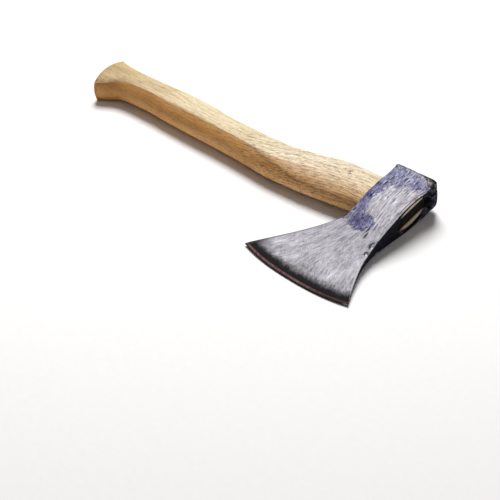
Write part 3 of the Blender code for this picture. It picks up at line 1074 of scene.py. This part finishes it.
def darkened_bit(s, own, fan, long_fine, colour):
    """Adds the soft-edged black band, the honed strip along the edge and the edge's own dark line."""
    from_edge = s.value("from_edge")
    ragged = s.minus(s.noise(s.scaled(own, (0.1, 0.1, 0.1)), 4, 0.65), 0.5)
    depth = s.plus(from_edge, s.times(ragged, 7.0))
    depth = s.plus(depth, s.times(s.minus(long_fine, 0.5), 6.0))
    band = s.most(s.smooth(depth, *BAND_DEPTH), s.value("heel"))
    honed = s.smooth(from_edge, *HONED_DEPTH)
    honed_colour = s.ramp(long_fine, *HONED_TONES)
    toe_end = s.times(s.smooth(s.split(fan)[0], 0.0, 20.0), 0.7)
    honed_colour = s.blend(toe_end, honed_colour, HONED_TOE)

    colour = s.blend(s.times(band, 0.99), colour, BIT_BLACK)
    colour = s.blend(honed, colour, honed_colour)
    colour = s.blend(s.smooth(from_edge, *EDGE_DEPTH), colour, EDGE_LINE)
    return colour, s.times(band, s.minus(1.0, honed))


def painted_sides(s, own, own_y):
    """The narrow sides and the eye's walls, nearly black, with paint flaking off by the poll."""
    tone = s.noise(s.scaled(own, (0.25, 0.25, 0.25)), 4, 0.6)
    flaked = s.smooth(s.noise(s.scaled(own, (0.35, 0.35, 0.35)), 4, 0.65), 0.48, 0.66)
    flaked = s.times(flaked, s.smooth(own_y, 14.0, 24.0))
    return s.blend(flaked, s.ramp(tone, *SIDE_TONES), SIDE_FLAKED)


def crusted_poll(s, own, colour):
    """Adds the poll's black crust, with a black rim along its outline that is partly a burred edge and
    partly painted shade.
    """
    crust = s.noise(s.scaled(own, (0.45, 0.45, 0.45)), 5, 0.7)
    poll = s.plus(s.value("poll"), s.times(s.minus(crust, 0.5), 0.9))
    poll = s.smooth(poll, 0.38, 0.62)
    crusted = s.blend(s.value("burr_and_shade"), s.ramp(crust, *CRUST_TONES), BURR_AND_SHADE_BLACK)
    return s.blend(poll, colour, crusted), poll


def knocks(s, own, long_fine, colour):
    """Adds dark lines along the borders, cuts with a pale lip that is a painted highlight, torn nicks with
    a painted glint, and the bright arris, partly worn steel and partly a painted highlight.
    """
    colour = s.blend(s.times(s.value("border"), 0.8), colour, BORDER_DARK)
    ragged = s.times(s.minus(long_fine, 0.5), 1.6)
    # painted highlight: a pale line along one side of each cut
    lip = s.any_within(own, CUTS, (-1.0, 0.3, 0), 0.9, ragged)
    colour = s.blend(s.times(lip, 0.55), colour, CUT_HIGHLIGHT)
    torn = s.noise(s.scaled(own, (0.7, 0.7, 0.7)), 3, 0.6)
    torn = s.times(s.minus(torn, 0.5), 2.4)
    cuts = s.any_within(own, CUTS, (0, 0, 0), 1.0, ragged)
    dark = s.most(cuts, s.any_within(own, NICKS, (-1.0, 0.4, 0), 1.6, torn))
    colour = s.blend(s.times(dark, 0.9), colour, CUT_DARK)
    patchy = s.noise(s.scaled(own, (0.3, 0.22, 0.3)), 3, 0.6)
    patchy = s.smooth(patchy, 0.36, 0.5, 0.25, 1.0)
    # painted glint in the core of each nick
    nick_glint = s.any_within(own, NICKS, (0, 0, 0), 1.0, torn)
    bright = s.most(s.times(s.value("worn"), patchy), nick_glint)
    return s.blend(bright, colour, WORN_STEEL_AND_GLINT), bright


def steel_material():
    """Ground steel with what is left of its blue paint, dark sides and a darkened bit."""
    s = Shading("head_steel")
    own, fan, cheek = s.vector("own_mm"), s.vector("fan_mm"), s.value("cheek")
    own_y = s.split(own)[1]
    long_fine = s.noise(s.scaled(fan, (1.0, 0.15, 1)), 4, 0.75)
    mottle = s.noise(s.scaled(own, (0.11, 0.08, 0.1)), 5, 0.65)
    chips = s.noise(s.scaled(own, (0.85, 0.25, 0.6)), 5, 0.75)
    crossing = (
        s.noise(s.turned(own, 27, (1.5, 0.12, 0.3)), 2, 0.6),
        s.noise(s.turned(own, -31, (1.7, 0.13, 0.3)), 2, 0.6),
    )

    metal = bare_steel(s, own, fan, own_y, long_fine, mottle, crossing)
    paint_colour, paint = old_paint(s, own, own_y, long_fine, chips)
    colour = s.blend(paint, metal, paint_colour)
    colour, band = darkened_bit(s, own, fan, long_fine, colour)
    # painted shade: each dent's hollow is darkened
    colour = s.blend(s.times(s.value("dent"), 0.85), colour, DENT_SHADE)
    colour = s.blend(cheek, painted_sides(s, own, own_y), colour)
    colour, poll = crusted_poll(s, own, colour)
    colour, bright = knocks(s, own, long_fine, colour)

    covered = s.most(paint, s.most(poll, s.minus(1.0, cheek)))
    covered = s.most(s.most(covered, band), bright)
    bare = s.minus(1.0, s.times(covered, 0.95))
    roughness = s.plus(s.plus(0.5, s.times(mottle, 0.2)), s.times(covered, 0.12))
    height = s.plus(s.times(long_fine, 0.6), s.times(crossing[0], 0.3))
    height = s.plus(height, s.times(crossing[1], 0.3))
    grooves = s.bump(height, 0.1 * MM, 0.6)
    film = s.plus(s.times(paint, 0.6), s.times(chips, 0.5))
    return s.finish(
        Base_Color=colour,
        Metallic=s.times(bare, 0.3),
        Roughness=roughness,
        Specular_IOR_Level=0.07,
        Normal=s.bump(film, 0.12 * MM, 0.5, grooves),
    )


def grain_space(s, x, y, z):
    """Coordinates that follow the grain: out to the poll in the swell, and bent round a knot."""
    run = s.smooth(x, -150.0, -20.0)
    from_knot_x = s.over(s.minus(x, KNOT_AT[0]), KNOT_SIZE[0])
    from_knot_y = s.over(s.minus(y, KNOT_AT[1]), KNOT_SIZE[1])
    away = s.plus(s.times(from_knot_x, from_knot_x), s.times(from_knot_y, from_knot_y))
    knot = s.math("EXPONENT", s.times(away, -1.0))
    bend = s.times(s.times(knot, from_knot_y), 5.0)
    along_y = s.minus(s.minus(y, s.times(run, 30.0)), bend)
    return s.join(x, along_y, z), along_y, knot


def early_wood(s, grain, along_y, x, z):
    """1 in the coarse, darker part of each year ring."""
    sway = s.minus(s.noise(s.scaled(grain, (0.014, 0.045, 0.045)), 3, 0.5), 0.5)
    level = s.plus(s.plus(z, s.times(sway, 9.0)), s.times(x, 0.03))
    level = s.plus(level, s.times(along_y, 0.5))
    year = s.math("FRACT", s.over(level, YEAR_RING))
    return s.times(s.smooth(year, 0.0, 0.1), s.smooth(year, 0.6, 0.2))


def pores_in(s, grain, early, x, y):
    """Dark pores along the grain: wide ones, more of them by the swell's hand side, and fine ones."""
    wide = s.noise(s.scaled(grain, (0.17, 1.35, 1.35)), 3, 0.7)
    fine = s.noise(s.scaled(grain, (0.25, 2.4, 2.4)), 2, 0.5)
    busy = s.times(s.smooth(y, 12.0, -4.0), s.smooth(x, -160.0, -110.0))
    wide = s.minus(wide, s.times(s.minus(1.0, early), 0.05))
    wide = s.plus(wide, s.times(busy, 0.035))
    pore = s.times(s.smooth(wide, 0.52, 0.58), 0.55)
    pore = s.plus(pore, s.times(s.smooth(wide, 0.6, 0.66), 0.4))
    return s.most(pore, s.times(s.smooth(fine, 0.58, 0.66), 0.5))


def side_tone_and_shade(s, grain, x, wood):
    """Turns the wood golden on the side towards the edge, partly its tone and partly painted shade, darker
    just below the crease as painted shade and lighter on faces turned down as painted light, with a broken
    dark line along its crease.
    """
    side = s.value("toward_edge")
    # golden side: partly the wood's tone, partly painted shade where the haft turns from the key
    golden = s.blend(1.0, wood, GOLDEN_TINT, "MULTIPLY")
    golden = s.blend(s.value("below"), golden, BELOW_CREASE_SHADE_TINT, "MULTIPLY")
    golden = s.blend(s.value("under"), golden, UNDER_LIGHT_TINT, "MULTIPLY")
    wood = s.blend(side, wood, golden)
    broken = s.noise(s.scaled(grain, (0.1, 1.0, 1.0)), 3, 0.6)
    broken = s.smooth(broken, 0.4, 0.56, 0.25, 0.75)
    wood = s.blend(s.times(s.value("crease"), broken), wood, CREASE_BROWN)
    streaks = s.noise(s.scaled(grain, (0.03, 0.8, 0.8)), 2, 0.5)
    streaks = s.times(s.smooth(streaks, 0.55, 0.62), side)
    streaks = s.times(streaks, s.smooth(x, -200.0, -100.0, 0.15, 0.36))
    return s.blend(streaks, wood, STREAK_BROWN)


def tenon_end(s, x, y, z, wood):
    """Makes the tenon's end grain pale and paints shade round its rim, where the eye's steel wall and the
    gap to it lie in shadow.
    """
    out_y = s.over(s.minus(y, EYE_SHIFT), EYE_TOP[0])
    out_z = s.over(z, EYE_TOP[1])
    out = s.plus(s.times(out_y, out_y), s.times(out_z, out_z))
    end = s.smooth(x, 10.0, 12.0)
    wood = s.blend(s.times(end, 0.6), wood, END_GRAIN)
    eye_shade = s.times(s.smooth(out, 0.74, 0.9), end)
    return s.blend(s.times(eye_shade, 0.9), wood, EYE_SHADE_BROWN)


def ash_material():
    """Flat-sawn ash: pale, with dark pores along the grain and a golden edge side, partly the wood's tone
    and partly painted shade.
    """
    s = Shading("haft_ash")
    own = s.vector("own_mm")
    x, y, z = s.split(own)
    grain, along_y, knot = grain_space(s, x, y, z)
    early = early_wood(s, grain, along_y, x, z)
    pore = pores_in(s, grain, early, x, y)

    fibre = s.noise(s.scaled(grain, (0.035, 1.3, 1.3)), 3, 0.6)
    broad = s.noise(s.scaled(grain, (0.014, 0.08, 0.08)), 3, 0.55)
    wood = s.ramp(s.plus(s.times(fibre, 0.4), s.times(broad, 0.6)), *ASH_TONES)
    paler = s.blend(1.0, wood, PALER_TINT, "MULTIPLY")
    wood = s.blend(s.smooth(x, -150.0, -60.0), wood, paler)
    browner = s.blend(1.0, wood, BROWNER_TINT, "MULTIPLY")
    wood = s.blend(s.smooth(x, -215.0, -295.0), wood, browner)
    wood = s.blend(s.times(early, 0.22), wood, EARLY_WOOD)
    strength = s.smooth(x, -190.0, -130.0, 0.62, 0.9)
    wood = s.blend(s.times(pore, strength), wood, PORE_BROWN)
    mark = s.noise(s.scaled(own, (0.5, 0.35, 0.3)), 2, 0.5)
    mark = s.times(s.smooth(mark, 0.56, 0.62), s.smooth(knot, 0.45, 0.8))
    wood = s.blend(s.times(mark, 0.85), wood, KNOT_DARK)
    wood = side_tone_and_shade(s, grain, x, wood)
    wood = s.blend(s.times(s.value("butt"), 0.3), wood, BUTT_BROWN)
    wood = tenon_end(s, x, y, z, wood)

    height = s.minus(s.times(fibre, 0.3), pore)
    return s.finish(
        Base_Color=wood,
        Roughness=s.plus(0.38, s.times(fibre, 0.2)),
        Specular_IOR_Level=0.35,
        Normal=s.bump(height, 0.15 * MM, 0.6),
    )


def wedge_material():
    """Nearly black wood, with its end grain showing as fine lines; the black is partly the wood's dark
    stain and partly painted shade of the recessed kerf.
    """
    s = Shading("wedge_wood")
    own = s.vector("own_mm")
    lines = s.noise(s.scaled(own, (0.2, 1.4, 0.25)), 3, 0.6)
    return s.finish(
        Base_Color=s.ramp(lines, *WEDGE_AND_SHADE_TONES),
        Roughness=0.7,
        Specular_IOR_Level=0.05,
        Normal=s.bump(lines, 0.3 * MM, 0.8),
    )


def floor_material():
    s = Shading("floor_paper")
    grain = s.noise(s.add("TexCoord", {}, "Object"), 3, 0.6, scale=180.0)
    tone = s.ramp(grain, *PAPER_TONES)
    return s.finish(Base_Color=tone, Roughness=0.9, Specular_IOR_Level=0.1)


# ---------------------------------------------------------------- studio
FLOOR_SIZE = 6.0
# azimuth and elevation in degrees, distance and diameter in metres, power in watts
KEY_LIGHT = (220, 56, 1.7, 1.0, 41)
KEY_COLOUR = (1.0, 0.99, 0.98)
SKY_COLOUR = (1.0, 0.95, 0.93)
SKY_STRENGTH = 0.20
CAMERA_AT = (0.55969, -0.65822, 0.61707)
CAMERA_AZIMUTH = 39.250
CAMERA_ELEVATION = 38.809
CAMERA_ROLL = 1.092
CAMERA_LENS = 93.25


def toward(azimuth, elevation):
    """Unit vector to a place seen from the object, with azimuth 0 at -Y and 90 at +X."""
    a, e = math.radians(azimuth), math.radians(elevation)
    return Vector((math.sin(a) * math.cos(e), -math.cos(a) * math.cos(e), math.sin(e)))


def make_floor():
    bpy.ops.mesh.primitive_plane_add(size=FLOOR_SIZE)
    floor = bpy.context.active_object
    floor.name = "floor"
    floor.data.materials.append(floor_material())


def make_light(name, azimuth, elevation, distance, size, power, colour):
    light = bpy.data.lights.new(name, "AREA")
    light.shape = "DISK"
    light.size = size
    light.energy = power
    light.color = colour
    obj = bpy.data.objects.new(name, light)
    bpy.context.scene.collection.objects.link(obj)
    obj.location = toward(azimuth, elevation) * distance
    obj.rotation_euler = toward(azimuth, elevation).to_track_quat("Z", "Y").to_euler()


def make_studio():
    make_floor()
    make_light("key", *KEY_LIGHT, KEY_COLOUR)
    world = bpy.data.worlds.new("studio")
    world.use_nodes = True
    background = world.node_tree.nodes["Background"]
    background.inputs["Color"].default_value = (*SKY_COLOUR, 1)
    background.inputs["Strength"].default_value = SKY_STRENGTH
    bpy.context.scene.world = world
    bpy.context.scene.view_settings.view_transform = "Standard"


def make_camera():
    data = bpy.data.cameras.new("camera")
    data.lens = CAMERA_LENS
    camera = bpy.data.objects.new("camera", data)
    bpy.context.scene.collection.objects.link(camera)
    camera.location = CAMERA_AT
    look = toward(CAMERA_AZIMUTH, CAMERA_ELEVATION).to_track_quat("Z", "Y")
    roll = Matrix.Rotation(math.radians(CAMERA_ROLL), 4, "Z")
    camera.rotation_euler = (look.to_matrix().to_4x4() @ roll).to_euler()
    bpy.context.scene.camera = camera


# ---------------------------------------------------------------- the hatchet
LYING = lying_matrix()

make_head()
make_haft()
make_wedge()
make_studio()
make_camera()

bpy.context.view_layer.update()
